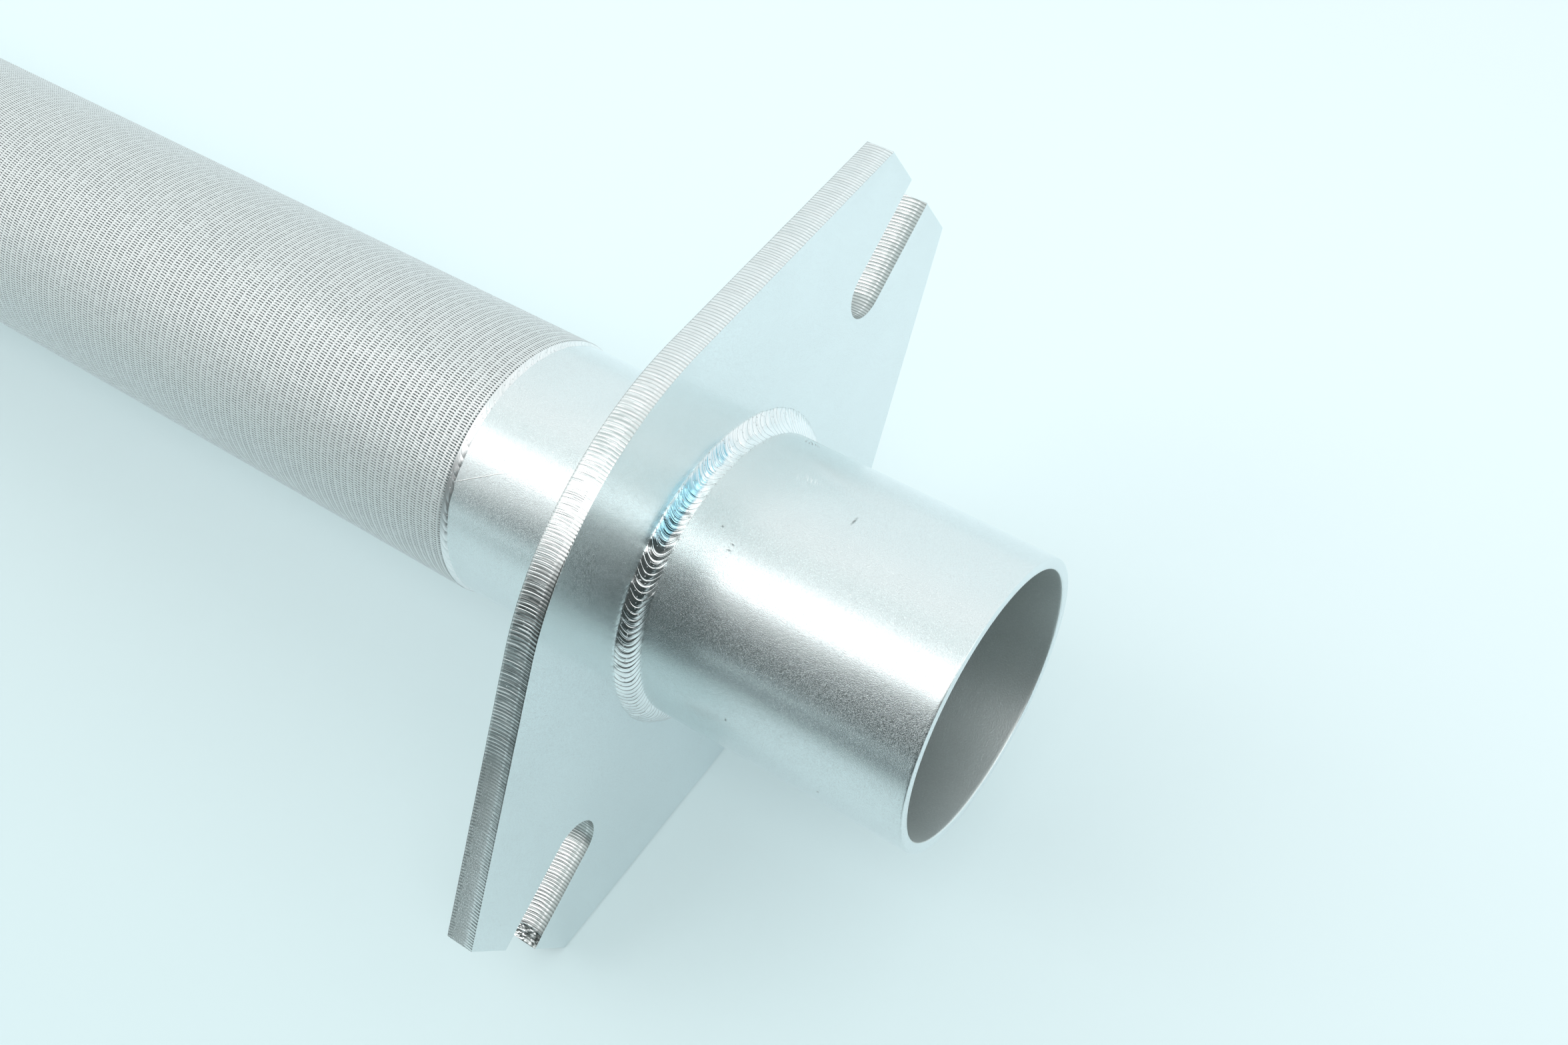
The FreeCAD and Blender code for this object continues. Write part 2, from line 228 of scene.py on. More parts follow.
# Materials
class Value:
    """One output socket in a node tree. Operators on it add Math nodes."""

    def __init__(self, maker, socket):
        self.maker = maker
        self.socket = socket

    def math(self, operation, *others, swap=False):
        terms = (*others, self) if swap else (self, *others)
        return self.maker.add("ShaderNodeMath", {"operation": operation}, dict(enumerate(terms)))

    def __add__(self, other):
        return self.math("ADD", other)

    def __sub__(self, other):
        return self.math("SUBTRACT", other)

    def __mul__(self, other):
        return self.math("MULTIPLY", other)

    def __truediv__(self, other):
        return self.math("DIVIDE", other)

    def __pow__(self, other):
        return self.math("POWER", other)

    def __mod__(self, other):
        return self.math("FLOORED_MODULO", other)

    def __rsub__(self, other):
        return self.math("SUBTRACT", other, swap=True)

    def __rtruediv__(self, other):
        return self.math("DIVIDE", other, swap=True)

    def __gt__(self, other):
        return self.math("GREATER_THAN", other)

    def __lt__(self, other):
        return self.math("LESS_THAN", other)

    __radd__ = __add__
    __rmul__ = __mul__

    def between(self, low, high):
        """Smooth step: 0 below low, 1 above high. With high below low it falls instead."""
        share = self.maker.add("ShaderNodeMapRange", {"interpolation_type": "SMOOTHSTEP"}, {
            "Value": self, "From Min": min(low, high), "From Max": max(low, high)})
        return share if high > low else 1 - share

    def bump_at(self, centre, half_width):
        """1 at the centre and 0 from half a width away on, smooth."""
        return (self - centre).math("ABSOLUTE").between(half_width, 0)

    def parts(self):
        node = self.maker.add_node("ShaderNodeSeparateXYZ", {}, {"Vector": self})
        return [Value(self.maker, output) for output in node.outputs]


class Maker:
    """Adds nodes to one node tree."""

    def __init__(self, tree):
        self.tree = tree
        tree.nodes.clear()

    def add_node(self, kind, settings, inputs):
        node = self.tree.nodes.new(kind)
        for name, setting in settings.items():
            if name == "stops":
                ramp = node.color_ramp
                while len(ramp.elements) < len(setting):
                    ramp.elements.new(0.5)
                for element, (position, colour) in zip(ramp.elements, setting):
                    element.position = position
                    element.color = (*colour, 1)
            else:
                setattr(node, name, setting)
        for name, given in inputs.items():
            if isinstance(given, Value):
                self.tree.links.new(given.socket, node.inputs[name])
            else:
                node.inputs[name].default_value = given
        return node

    def add(self, kind, settings=None, inputs=None, output=0):
        """Adds a node, sets its settings, then its sockets, and gives one of its outputs."""
        node = self.add_node(kind, settings or {}, inputs or {})
        return Value(self, node.outputs[output])

    def mix(self, share, first, second):
        """Colour from the first to the second."""
        factor, first_colour, second_colour, result = 0, 6, 7, 2
        inputs = {factor: share}
        for number, colour in ((first_colour, first), (second_colour, second)):
            inputs[number] = colour if isinstance(colour, Value) else (*colour, 1)
        return self.add("ShaderNodeMix", {"data_type": "RGBA"}, inputs, result)

    def noise(self, place, scale, detail=2.0, roughness=0.5):
        """Cloud of numbers from 0 to 1. The scale is in lumps for each unit of the place."""
        return self.add("ShaderNodeTexNoise", {}, {
            "Vector": place, "Scale": scale, "Detail": detail, "Roughness": roughness})

    def dots(self, place, spacing, radius):
        """Round dots, one in each cell of about that spacing, 1 at their middle."""
        distance = self.add("ShaderNodeTexVoronoi", {"feature": "F1"}, {
            "Vector": place, "Scale": 1 / spacing})
        return distance.between(radius / spacing, radius * 0.5 / spacing)

    def vector(self, x, y, z):
        return self.add("ShaderNodeCombineXYZ", {}, {"X": x, "Y": y, "Z": z})

    def place(self):
        """Place on the object in millimetres."""
        position = self.add("ShaderNodeTexCoord", output="Object")
        return self.add("ShaderNodeVectorMath", {"operation": "SCALE"}, {0: position, "Scale": 1 / MM})

    def round_and_along(self):
        """Angle round the axis in degrees, and place along the axis in millimetres."""
        x, y, z = self.place().parts()
        return y.math("ARCTAN2", z) * math.degrees(1), x

    def layout(self):
        """The two lengths or counts of a piece's own layout."""
        return self.add("ShaderNodeUVMap", {"uv_map": "layout"}).parts()[:2]

    def surface(self, colour, roughness, height):
        """Metal surface with a height in millimetres for its fine relief."""
        relief = self.add("ShaderNodeBump", {}, {"Height": height, "Distance": MM, "Strength": 1.0})
        metal = self.add("ShaderNodeBsdfPrincipled", {}, {
            "Base Color": colour, "Roughness": roughness, "Metallic": 1.0, "Normal": relief})
        self.add_node("ShaderNodeOutputMaterial", {}, {"Surface": metal})


def new_material(name):
    material = bpy.data.materials.new(name)
    material.use_nodes = True
    return material, Maker(material.node_tree)


STEEL = (0.83, 0.905, 0.91)
PALE_STEEL = (0.97, 0.99, 0.99)
DULL_STEEL = (0.42, 0.45, 0.44)


def blasted_steel(name, sheen=0.22, grain=1.0, marks=None, dullness=0.0):
    """Bead-blasted stainless steel: a satin sheen that varies in soft clouds, with raised grains a
    seventh of a millimetre wide that sparkle, partly by their bumps and partly by a painted glint,
    and a few raised pale dots that are painted glints."""
    material, maker = new_material(name)
    place = maker.place()
    grit = maker.noise(place, 7.5, 0.0)
    crests_with_painted_glint = grit.between(0.58, 0.74)
    pits = grit.between(0.42, 0.28)
    orange_peel = maker.noise(place, 1.1, 2.0)
    clouds = maker.noise(place, 0.035, 3.0)
    specks_with_painted_glint = maker.dots(place, 3.2, 0.13) * maker.noise(place, 0.11, 1.0).between(0.52, 0.56)
    steel = [c * (1 - dullness) for c in STEEL]
    shade = maker.mix(clouds.between(0.35, 0.65), [c * 0.965 for c in steel], steel)
    shade = maker.mix(pits * 0.16 * grain, shade, DULL_STEEL)
    # Painted glints: the raised grains and the dots are painted pale as sparkle.
    shade = maker.mix((crests_with_painted_glint * 0.5 * grain + specks_with_painted_glint).math("MINIMUM", 1.0), shade, PALE_STEEL)
    height = (crests_with_painted_glint * 0.018 - pits * 0.012) * grain + orange_peel * 0.003 + specks_with_painted_glint * 0.05
    if marks:
        shade, height = marks(maker, shade, height)
    maker.surface(shade, sheen + clouds * 0.02 + grit * 0.05, height)
    return material


def pipe_marks(maker, shade, height):
    """Dark scuff beside the weld at the top, small dark nicks, and a pale smudge."""
    angle, along = maker.round_and_along()
    arc = angle * (math.radians(1) * PIPE_RADIUS / MM)
    ragged = maker.noise(maker.vector(along * 0.9, arc * 0.7, 0.0), 1.0, 4.0, 0.65)
    streaks = maker.noise(maker.vector(along * 2.4 + arc * 1.2, arc * 0.4, 0.0), 1.0, 3.0)
    scuff = along.bump_at(-12.6, 4.6) * arc.bump_at(-28.6, 4.6) * streaks.between(0.36, 0.60)
    ticks = along.bump_at(-14.4, 2.6) * arc.bump_at(-22.4, 2.0) * streaks.between(0.50, 0.60)
    nicks = 0.0
    for nick_along, nick_arc, length, width in (
            (-27.0, 29.2, 0.75, 0.22), (-18.8, 11.4, 0.7, 0.25), (-18.8, 12.6, 0.7, 0.25),
            (-15.3, 9.3, 0.45, 0.35), (-35.0, -3.6, 0.35, 1.5), (-48.4, 50.9, 0.4, 0.5),
            (-28.6, 43.8, 0.35, 0.6)):
        nicks = along.bump_at(nick_along, length) * arc.bump_at(nick_arc, width) + nicks
    dark = (scuff * 0.8 + ticks + nicks * ragged.between(0.32, 0.5)).math("MINIMUM", 1.0)
    smudge = along.bump_at(-22.5, 4.0) * arc.bump_at(-7.6, 2.0) * streaks.between(0.52, 0.64)
    smudge = smudge + along.bump_at(-13.0, 0.5) * arc.bump_at(31.1, 0.4)
    shade = maker.mix(dark * 0.72, shade, (0.10, 0.115, 0.11))
    shade = maker.mix(smudge.math("MINIMUM", 1.0), shade, PALE_STEEL)
    return shade, height - dark * 0.03 + smudge * 0.03


def collar_marks(maker, shade, height):
    """One fine pale scratch that crosses part of the collar."""
    angle, along = maker.round_and_along()
    arc = angle * (math.radians(1) * COLLAR_RADIUS / MM)
    slope = (24.2 - 19.0) / (40.2 - 32.0)
    line = (arc - 24.2 - (along - 40.2) * slope).bump_at(0.0, 0.16)
    scratch = line * along.bump_at(35.8, 6.0).between(0.0, 0.3)
    shade = maker.mix(scratch, shade, (0.97, 0.97, 0.95))
    return shade, height + scratch * 0.02


def bore_steel():
    """Inside of the pipe: the same blasted steel, duller."""
    material, maker = new_material("bore_steel")
    place = maker.place()
    pits = maker.noise(place, 3.0, 3.0, 0.65)
    sparkle = maker.noise(place, 4.5, 1.0).between(0.60, 0.72)
    clouds = maker.noise(place, 0.08, 3.0)
    shade = maker.mix(clouds, (0.72, 0.775, 0.77), (0.85, 0.90, 0.89))
    shade = maker.mix(pits.between(0.3, 0.7) * 0.25, shade, (0.58, 0.61, 0.60))
    shade = maker.mix(sparkle * 0.5, shade, PALE_STEEL)
    maker.surface(shade, 0.42 + pits * 0.12, pits * 0.045)
    return material


def cut_steel():
    """Laser-cut edge. The layout gives the number of stripes along the outline and the depth in the
    plate. The grooves between the stripes are painted darker as shade, also in the slots. Broad flutes
    at the front end in a row of painted highlights at a quarter of the depth. Behind them the lines
    are fine. Over one stretch of each long edge they drown in a grainy dull band, with short ticks
    along the back face, and beside it the edge is painted dark as a reflection of the dark studio,
    with painted highlights on the thin flats between the grooves. The slots are dull at the front
    and at their round ends. One slot's mouth is melted."""
    material, maker = new_material("cut_steel")
    count, depth = maker.layout()
    run = count * STRIPE
    half_outline = OUTLINE / MM / 2
    slot_side = (PLATE_LENGTH / 2 - SLOT_CENTRE) / MM
    slot_end = half_outline - math.pi * SLOT_WIDTH / 2 / MM
    groove = ((count * FULL_TURN).math("COSINE") * 0.5 + 0.5) ** 2.0
    half_step = ((count * FULL_TURN * 2).math("COSINE") * 0.5 + 0.5) ** 3.0
    lines = maker.noise(maker.vector(run * 3.4, depth * 0.14, 3.0), 1.0, 1.0, 0.7)
    waves = maker.noise(maker.vector(run * 1.6, depth * 0.9, 1.0), 1.0, 1.0)
    grain = maker.noise(maker.vector(run * 5.0, depth * 5.0, 7.0), 1.0, 1.0, 0.6)
    coarse = maker.noise(maker.vector(run * 0.5, depth * 0.8, 11.0), 1.0, 2.0)
    ragged = maker.noise(maker.vector(run * 1.4, depth * 0.3, 5.0), 1.0, 2.0) - 0.5
    position = run % half_outline
    in_slot = (position < slot_side) + (position > slot_end - slot_side)
    stretch = position.bump_at(GRAINY_MIDDLE, GRAINY_HALF).between(0.0, 0.25)
    painted_dark_reflection = position.between(48.0, 90.0) * position.between(124.0, 110.0)
    back = depth + ragged * 2.0
    grainy = stretch * back.between(1.1, 2.5)
    ticks = stretch * groove * back.between(4.7, 5.2)
    melted = run.bump_at(MELTED_MIDDLE, MELTED_HALF).between(0.0, 0.3)
    fine = depth.between(1.1, 1.9)
    painted_highlight_spots = depth.bump_at(1.45, 0.5) + depth.between(1.3, 1.7) * depth.between(3.8, 2.6) * 0.5
    thin = half_step * lines.between(0.42, 0.58) * fine
    # Painted shade: the grooves are painted darker; the fine lines of the cut darken the edge a little too.
    painted_groove_shade_and_lines = (groove * 0.62 + thin * 0.4 + lines.between(0.55, 0.30) * 0.25).math("MINIMUM", 1.0)
    shade = maker.mix(painted_groove_shade_and_lines * (1 - grainy), (0.91, 0.95, 0.945), (0.50, 0.545, 0.54))
    shade = maker.mix(grainy * (0.5 + coarse * 0.5), shade, (0.40, 0.425, 0.415))
    shade = maker.mix(grainy * grain.between(0.50, 0.66), shade, PALE_STEEL)
    # Painted reflection: beside the grainy band the edge is painted dark, as if it mirrored the dark studio,
    # and the thin lands between the grooves keep painted highlights.
    painted_land_highlights = (1 - groove) ** 4.0 * (0.3 + lines.between(0.45, 0.6) * 0.6)
    shade = maker.mix(painted_dark_reflection * (1 - painted_land_highlights) * 0.82, shade, (0.24, 0.27, 0.265))
    shade = maker.mix(ticks * 0.8, shade, (0.20, 0.22, 0.215))
    dull = back.between(3.2, 2.2).math("MAXIMUM", position > slot_end)
    shade = maker.mix(in_slot * dull * 0.6, shade, (0.44, 0.49, 0.475))
    # Painted shade in the grooves of the slots.
    shade = maker.mix(in_slot * groove * 0.6, shade, (0.22, 0.245, 0.24))
    # Painted highlights: a row of bright dots on the lands at about a quarter of the depth.
    shade = maker.mix(painted_highlight_spots * (1 - groove) ** 3.0 * 0.8, shade, PALE_STEEL)
    rim = depth.between(5.72, 5.92)
    shade = maker.mix(melted * waves.between(0.45, 0.6) + rim * 0.35, shade, (0.13, 0.145, 0.14))
    glints = maker.dots(maker.vector(run, depth, 0.0), 1.3, 0.13) * fine
    shade = maker.mix(glints, shade, PALE_STEEL)
    height = (lines * 0.040 - thin * 0.03) * fine * (1 - grainy) + grain * grainy * 0.10
    height = height + waves * (0.008 + melted * 0.25) + glints * 0.05 + lines * 0.010
    maker.surface(shade, 0.16 + (grainy + in_slot * dull) * 0.16 + lines * 0.06, height)
    return material


# Angles round the axis, in degrees, between which the front weld is tinted
HEAT_TINT_START = -9.0
HEAT_TINT_END = 37.0


def weld_steel(name, heat_tint=False, gloss=0.12, crispness=1.0):
    """Bright weld metal. The layout gives the number of ripples along the bead and the share
    across it. Fine lines follow the ripples, pinheads of spatter sit near the plate, and a blue
    heat tint lies over one stretch where the weld was left hot."""
    material, maker = new_material(name)
    place = maker.place()
    angle, _ = maker.round_and_along()
    ripple, across = maker.layout()
    lines = maker.noise(maker.vector(ripple * 5.5, across * 1.2, 0.0), 1.0, 1.0, 0.6)
    patches = maker.noise(maker.vector(ripple * 0.6, across * 1.3, 4.0), 1.0, 2.0)
    share = ripple % 1.0
    crease_with_painted_shade = share.bump_at(0.0, 0.10) + share.bump_at(1.0, 0.10)
    shade = maker.mix(lines.between(0.3, 0.6), (0.84, 0.885, 0.885), (0.97, 0.995, 0.995))
    # Painted shade in the creases between the ripples.
    shade = maker.mix(crease_with_painted_shade * 0.45 * crispness, shade, (0.30, 0.33, 0.33))
    if heat_tint:
        stretch = angle.between(HEAT_TINT_START - 3, HEAT_TINT_START + 5) * angle.between(
            HEAT_TINT_END, HEAT_TINT_END - 9)
        plate_side = (across + (patches - 0.5) * 0.3).between(0.72, 0.55)
        streaky = angle.between(14.0, 6.0) * 0.75
        blue = stretch * plate_side * across.between(-0.06, 0.14) * (1 - streaky * lines.between(0.40, 0.56))
        blue = blue * (0.72 + patches * 0.4)
        shade = maker.mix(blue.math("MINIMUM", 1.0) * 0.95, shade, (0.26, 0.58, 0.71))
    spatter = maker.dots(place, 0.72, 0.15) * across.between(0.80, 0.55) * patches.between(0.30, 0.46)
    shade = maker.mix(spatter * 0.8, shade, PALE_STEEL)
    height = (lines * 0.050 - crease_with_painted_shade * 0.03) * crispness + patches * 0.02 + spatter * 0.14
    maker.surface(shade, gloss + lines * 0.08, height)
    return material


# Wires of the cloth: millimetres from one to the next along the axis, the share of a pitch
# before the first, gaps in a ring, and the places of gaps, ridge and crest as shares of a pitch
WIRE_PITCH = 1.844
WEAVE_START = 0.437
GAPS_ROUND = 312
SHORT_GAP, RIDGE, LONG_GAP, CREST = 0.20, 0.385, 0.60, 0.90


def wire_cloth():
    """Sintered wire cloth. Along the axis each wire pitch has a ring of short gaps, a thin ridge, a
    ring of longer gaps and a broad crest. The gaps are painted dark as the shade in them, the
    shorter ones dark, the longer ones paler. The ridge is painted bright as a glint. Round the tube
    there are 312 gaps in each ring, between fine wire strands that are painted bright along their
    middles as a highlight, moved by half their spacing from one pitch to the next."""
    material, maker = new_material("wire_cloth")
    angle, along = maker.round_and_along()
    place = maker.place()
    wobble = maker.noise(place, 0.7, 2.0) - 0.5
    pitches = (along - MESH_START / MM) / WIRE_PITCH - WEAVE_START + wobble * 0.08
    across = pitches % 1.0
    odd = (pitches.math("FLOOR") % 2.0) * 0.5
    round_gaps = (angle * (GAPS_ROUND / 360) + odd + wobble * 0.30 + across * 0.22) % 1.0
    slit = round_gaps.bump_at(0.5, 0.34)
    worn = maker.noise(place, 0.8, 2.0).between(0.34, 0.60)
    short_gap = across.bump_at(SHORT_GAP, 0.25)
    long_gap = across.bump_at(LONG_GAP, 0.36) * (0.55 + worn * 0.45)
    gap_with_painted_shade = (slit * (short_gap + long_gap)).between(0.10, 0.85)
    wires_with_painted_highlight = (round_gaps * FULL_TURN).math("COSINE") * 0.5 + 0.5
    ridge = across.bump_at(RIDGE, 0.12)
    crest = across.bump_at(CREST, 0.24)
    grit = maker.noise(place, 4.5, 1.0)
    # Painted highlight along the middle of each wire, darker between them, and a painted glint on the ridge.
    shade = maker.mix(wires_with_painted_highlight * 0.75 + ridge * 0.25, (0.66, 0.695, 0.69), (0.97, 0.99, 0.985))
    shade = maker.mix(crest * (0.20 + worn * 0.25), shade, (0.82, 0.835, 0.82))
    shade = maker.mix(grit.between(0.52, 0.68) * 0.5, shade, PALE_STEEL)
    # Painted shade in the gaps between the wires.
    shade = maker.mix(gap_with_painted_shade * 0.96, shade, (0.04, 0.046, 0.044))
    height = wires_with_painted_highlight * 0.050 - gap_with_painted_shade * 0.07 + ridge * 0.03 + grit * 0.030 + crest * 0.01
    maker.surface(shade, 0.40 + grit * 0.10, height)
    return material


tube_steel = blasted_steel("tube_steel", marks=pipe_marks)
collar_steel = blasted_steel("collar_steel", marks=collar_marks)
cap_steel = blasted_steel("cap_steel", dullness=0.03)
plate_steel = blasted_steel("plate_steel", sheen=0.14, grain=0.9)
bore_finish = bore_steel()
bead_finish = weld_steel("bead_steel", heat_tint=True)
seam_finish = weld_steel("seam_steel", gloss=0.34, crispness=0.4)
cloth_finish = wire_cloth()


# Outlet pipe
def outlet_pipe():
    """Straight tube with rounded rims. Its foot ends inside the weld bead."""
    foot = front_bead_low.x + 1.0 * MM
    section = rounded_section((
        (PIPE_RIM, PIPE_RADIUS, RIM_RADIUS), (foot, PIPE_RADIUS, RIM_RADIUS),
        (foot, PIPE_BORE, RIM_RADIUS), (PIPE_RIM, PIPE_BORE, RIM_RADIUS)))
    inside = section[:, 1] < PIPE_BORE + 0.1 * RIM_RADIUS
    piece = ring_piece("pipe_stub", turned(section, AROUND), [tube_steel, bore_finish], inside)
    place(piece, "blasted_tube", "outlet_pipe")


# Collar and end cap
def collar():
    """Straight tube from the front of the flange, inside it, to the mesh. Only behind the flange
    does it have its full wall."""
    section = rounded_section((
        (0.0, COLLAR_RADIUS, 0.2 * MM), (MESH_START, COLLAR_RADIUS, 0.2 * MM),
        (MESH_START, COLLAR_BORE, 0.2 * MM), (PLATE_FRONT, COLLAR_BORE, 0.2 * MM)))
    piece = ring_piece("collar", turned(section, AROUND), [collar_steel])
    place(piece, "blasted_tube", "collar_tube")


def end_cap():
    """Cup with a rounded edge. Its section ends in a tiny hole on the axis, on both sides of the
    floor, which is closed by merging the ring of points there."""
    hole, inside = 1e-7, COLLAR_RADIUS - CAP_WALL
    section = rounded_section((
        (MESH_END, COLLAR_RADIUS, 0.2 * MM), (CAP_END, COLLAR_RADIUS, CAP_CORNER),
        (CAP_END, hole, 1e-8), (CAP_END - CAP_FLOOR, hole, 1e-8),
        (CAP_END - CAP_FLOOR, inside, 1.0 * MM), (MESH_END, inside, 0.2 * MM)))
    piece = ring_piece("closing_cap", turned(section, AROUND), [cap_steel])
    place(piece, "blasted_tube", "end_cap")


# Weld beads
def closing_fade(angles, width):
    """1 round the ring, falling to 0 over that width in radians on both sides of its start, so
    that random numbers meet there."""
    return np.minimum(1, np.minimum(angles, FULL_TURN - angles) / width)


def ripple_count(rows, around, radius, pitch, lag, seed):
    """Number of ripples along a bead, on a grid across it by round it, with one column more than
    the ring: count x angle / turn + a smooth unevenness - lag x 4 t (1 - t), with t from 0 to 1
    across the bead. The lag sets the middle of each ripple back."""
    angles = np.arange(around + 1) * FULL_TURN / around
    length = angles * radius
    count = round(FULL_TURN * radius / pitch)
    uneven = 0.35 * smooth_noise(length, 2.5 * pitch, seed) + 0.5 * smooth_noise(length, 9 * pitch, seed + 1)
    t = np.linspace(0, 1, rows)[:, None]
    along = angles / FULL_TURN * count + uneven * closing_fade(angles, 0.2)
    return along[None, :] - lag * 4 * t * (1 - t)


def bead_layout(ripple, t, rows):
    """Layout of a bead: the number of ripples and the share across. The rows of the underside take
    the last row's numbers."""
    layout = np.stack([ripple, np.broadcast_to(t, ripple.shape)], -1)
    return np.concatenate([layout, np.repeat(layout[-1:], rows - len(layout), 0)])


def fillet_bead(name, plate_face, out_radius, tube_radius, tube_end, finish, node, seed):
    """Weld bead in the corner between a plate and a tube. Across the bead, t runs from the plate's
    toe to the tube's toe: chord point + bulge x 4 t (1 - t) along the chord's normal. Each ripple
    is a dome on that, steep on one side: sin(pi x share ** 0.6). The toes wander a little."""
    rows, around = 17, 1900
    side = math.copysign(1.0, tube_end - plate_face)
    bulge, ripple_height = 0.45 * MM, 0.08 * MM
    t = np.linspace(0, 1, rows)[:, None]
    angles = np.arange(around) * FULL_TURN / around
    length = angles * tube_radius
    fade = closing_fade(angles, 0.1)
    plate_toe = out_radius + 0.13 * MM * (smooth_noise(length, 1.4 * MM, seed) * fade - 1)
    tube_toe = tube_end + side * 0.13 * MM * (smooth_noise(length, 1.4 * MM, seed + 1) * fade - 1)
    start = np.stack([np.full(around, plate_face - side * 0.05 * MM), plate_toe], -1)
    end = np.stack([tube_toe, np.full(around, tube_radius - 0.05 * MM)], -1)
    chord = end - start
    normal = np.stack([np.abs(chord[:, 1]) * side, np.abs(chord[:, 0])], -1)
    normal /= np.linalg.norm(normal, axis=1)[:, None]
    ripple = ripple_count(rows, around, out_radius, 1.45 * MM, 1.5, seed + 2)
    dome = np.sin(math.pi * (ripple[:, :-1] % 1.0) ** 0.6) ** 0.8
    window = (4 * t * (1 - t)) ** 0.35
    height = bulge * 4 * t * (1 - t) + ripple_height * window * (dome - 0.5)
    face = start[None] + chord[None] * t[..., None] + normal[None] * height[..., None]
    depth = 0.4 * MM
    under = np.array([(tube_end, tube_radius - depth), (plate_face - side * depth, tube_radius - depth),
                      (plate_face - side * depth, out_radius - depth)])
    section = np.concatenate([face, np.broadcast_to(under[:, None, :], (len(under), around, 2))])
    piece = ring_piece(name, ring_grid(section), [finish], layout=bead_layout(ripple, t, len(section)))
    place(piece, "weld_metal", node)


def seam_bead(name, tube_side, mesh_side, node, seed):
    """Braided weld in the step between a plain tube and the mesh tube. Beside the tube, strands
    that lie aslant make a low rope: |sin(pi x strands)|. Beside the mesh it is smooth."""
    rows, around = 11, 1100
    toward_mesh = math.copysign(1.0, mesh_side - tube_side)
    t = np.linspace(0, 1, rows)[:, None]
    angles = np.arange(around) * FULL_TURN / around
    length = angles * COLLAR_RADIUS
    fade = closing_fade(angles, 0.2)
    end_along = mesh_side + toward_mesh * 0.25 * MM
    strand = ripple_count(rows, around, COLLAR_RADIUS, 2.4 * MM, 0.25, seed) + 1.2 * t
    rope = np.abs(np.sin(math.pi * strand[:, :-1])) ** 0.8 * np.clip(1.5 - 2.7 * t, 0, 1)
    height = (0.05 * MM + 0.13 * MM * rope) * (4 * t * (1 - t)) ** 0.7
    wander = 0.12 * MM * smooth_noise(length, 2.0 * MM, seed + 5) * fade
    along = tube_side + (end_along - tube_side) * t + wander[None, :] * (1 - t) * toward_mesh
    out = (COLLAR_RADIUS - 0.05 * MM) * (1 - t) + (MESH_RADIUS - 0.12 * MM) * t + height
    inner = COLLAR_RADIUS - 0.5 * MM
    face = np.stack([along, out], -1)
    under = np.broadcast_to(np.array([[(end_along, inner)], [(tube_side, inner)]]), (2, around, 2))
    section = np.concatenate([face, under])
    piece = ring_piece(name, ring_grid(section), [seam_finish], layout=bead_layout(strand, t, len(section)))
    place(piece, "weld_metal", node)


def long_seam():
    """Weld along the mesh tube: a low dome across 3 mm, with ripples along it."""
    middle = math.atan2(-math.sin(math.radians(70)), -math.cos(math.radians(70)))
    rows, columns = 2000, 11
    along = np.linspace(MESH_START + 0.5 * MM, MESH_END - 0.5 * MM, rows)[:, None]
    t = np.linspace(0, 1, columns)[None, :]
    half_angle = 1.5 * MM / MESH_RADIUS * (1 + 0.08 * smooth_noise(along, 3 * MM, 41))
    ripple = along / (1.5 * MM) + 0.25 * smooth_noise(along, 5 * MM, 42) - 0.8 * 4 * t * (1 - t)
    dome = 4 * t * (1 - t)
    radius = MESH_RADIUS - 0.15 * MM + 0.30 * MM * dome * (0.7 + 0.4 * np.sin(math.pi * (ripple % 1) ** 0.6))
    angle = middle + half_angle * (2 * t - 1)
    top = np.stack([along * np.ones_like(t), radius * np.sin(angle), radius * np.cos(angle)], -1)
    inner = MESH_RADIUS - 1.0 * MM
    under = np.stack([along[:, 0], np.full(rows, inner * math.sin(middle)),
                      np.full(rows, inner * math.cos(middle))], -1)
    grid = np.concatenate([top, under[:, None, :]], 1)
    layout = np.stack([ripple, np.broadcast_to(t, ripple.shape)], -1)
    layout = np.concatenate([layout, layout[:, -1:], layout[:, :1]], 1)
    corner_rows, corner_columns = grid_faces(rows, columns + 1, False, True)
    faces = corner_rows * (columns + 1) + corner_columns % (columns + 1)
    corners = layout[corner_rows, corner_columns]
    points = grid.reshape(-1, 3)
    if inside_out(points, faces):
        faces, corners = faces[:, ::-1], corners[:, ::-1]
    piece = build("seam_along_mesh", points, faces, [seam_finish], layout=corners)
    place(piece, "weld_metal", "long_seam_weld")


# Mesh tube
def mesh_tube():
    """Tube of wire cloth. The outside radius falls and rises four times in each wire pitch: a
    valley at the short gaps, a low ridge, a valley at the long gaps and a broad crest."""
    around = 88
    pitches = np.arange(-1, math.floor((MESH_END - MESH_START) / MM / WIRE_PITCH))
    steps = np.array([SHORT_GAP, RIDGE, LONG_GAP, CREST])
    drops = np.array([0.07, 0.02, 0.06, 0.0]) * MM
    along = MESH_START + (pitches[:, None] + WEAVE_START + steps[None]).ravel() * WIRE_PITCH * MM
    radius = MESH_RADIUS - np.tile(drops, len(pitches))
    kept = along > MESH_START + 0.1 * MM
    outside = np.stack([along[kept], radius[kept]], -1)
    start = np.array([(MESH_START, MESH_RADIUS - MESH_WALL), (MESH_START, MESH_RADIUS - 0.1 * MM)])
    end = np.array([(MESH_END, MESH_RADIUS - 0.1 * MM), (MESH_END, MESH_RADIUS - MESH_WALL)])
    section = np.concatenate([start, outside, end])
    piece = ring_piece("mesh_cloth", turned(section, around), [cloth_finish])
    place(piece, "sintered_mesh", "mesh_tube")


